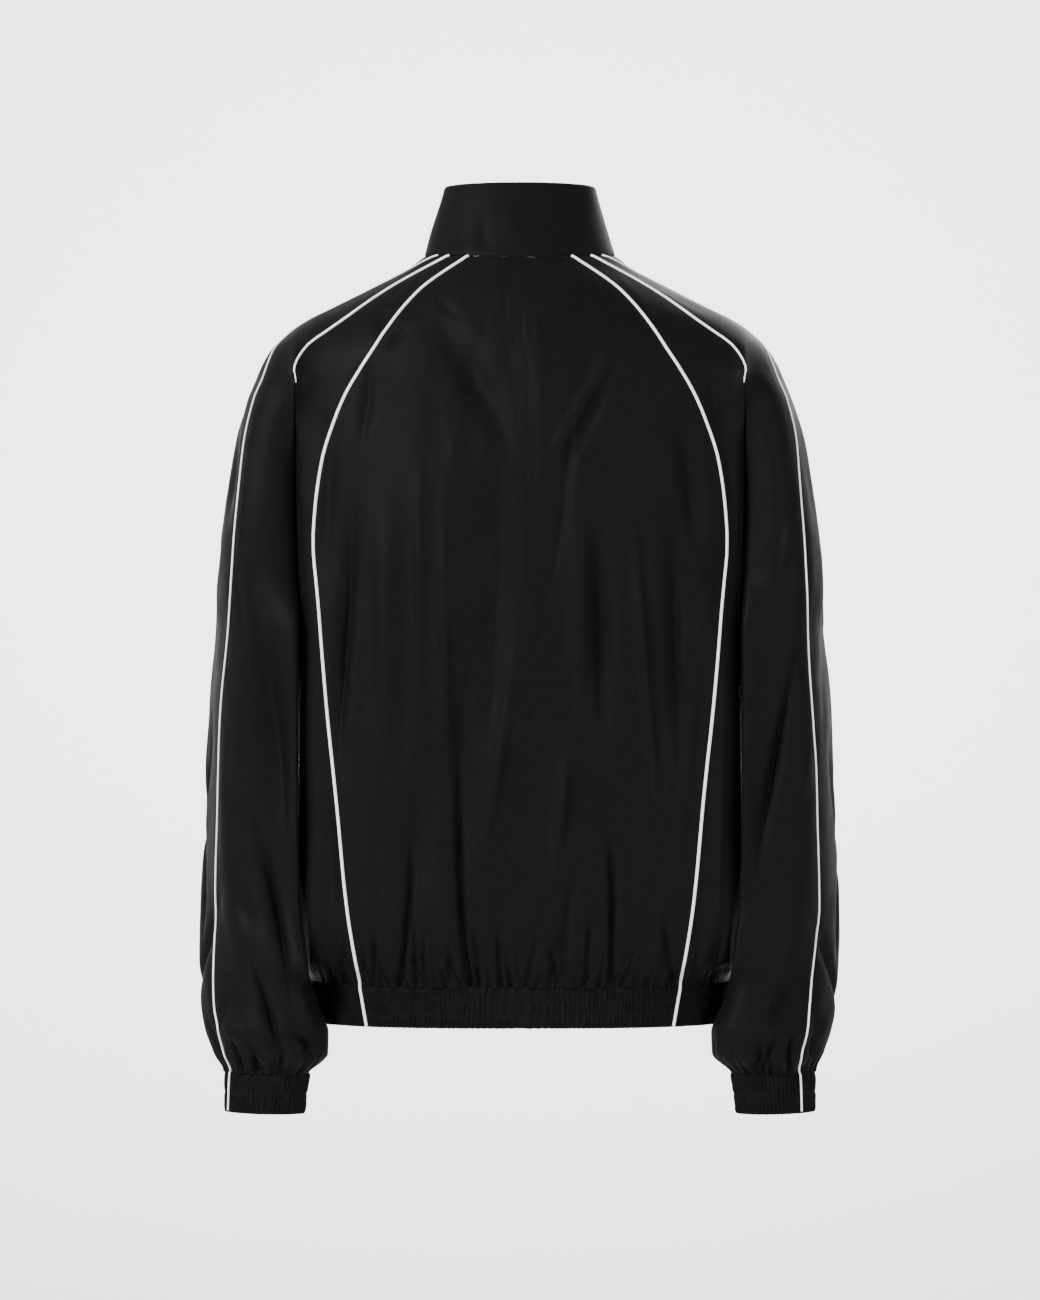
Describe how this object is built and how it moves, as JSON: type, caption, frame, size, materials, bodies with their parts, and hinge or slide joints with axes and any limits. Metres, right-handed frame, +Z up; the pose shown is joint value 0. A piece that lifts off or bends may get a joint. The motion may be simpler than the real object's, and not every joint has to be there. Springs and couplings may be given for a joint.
{
  "type": "track jacket",
  "caption": "Hollow zip-up track jacket with a stand collar, raglan sleeves, white piping and elasticated hem and cuffs, filled out as if worn.",
  "frame": {"origin": "on the axis of the neck, level with the collar seam at the centre back, where the wearer's neck and shoulders hold the garment", "axes": "+Z up the wearer, the front faces -Y, the back +Y, and the wearer's left is +X"},
  "size_m": [0.5856, 0.2709, 0.8411],
  "materials": {
    "cloth": "plain-woven black polyester with a soft satin sheen",
    "shirred_band": "the same black cloth, shirred over elastic into fine upright puckers",
    "piping": "matt white corded piping",
    "zip_tape": "black woven zip tape",
    "zip_chain": "black moulded zip teeth",
    "zip_metal": "black lacquered die-cast zip slider, pull and box"
  },
  "bodies": {
    "garment": {"back_centre": "cloth", "back_side_left": "cloth", "back_side_right": "cloth", "sleeve_back_left": "cloth", "sleeve_back_right": "cloth", "sleeve_front_left": "cloth", "sleeve_front_right": "cloth", "front_left": "cloth", "front_right": "cloth", "collar": "cloth", "hem_band": "shirred_band", "cuff_left": "shirred_band", "cuff_right": "shirred_band", "piping_princess_left": "piping", "piping_princess_right": "piping", "piping_raglan_left": "piping", "piping_raglan_right": "piping", "piping_ridge_left": "piping", "piping_ridge_right": "piping", "zip_tape_left": "zip_tape", "zip_tape_right": "zip_tape", "zip_chain": "zip_chain", "zip_box": "zip_metal", "zip_slider": "zip_metal"},
    "pull": {"zip_pull": "zip_metal"}
  },
  "joints": [
    {"name": "zip_pull", "type": "hinge", "parent": "garment", "child": "pull", "pos_m": [0, -0.07892, -0.02562], "axis": [-1, 0, 0], "range_deg": [0, 150]}
  ]
}
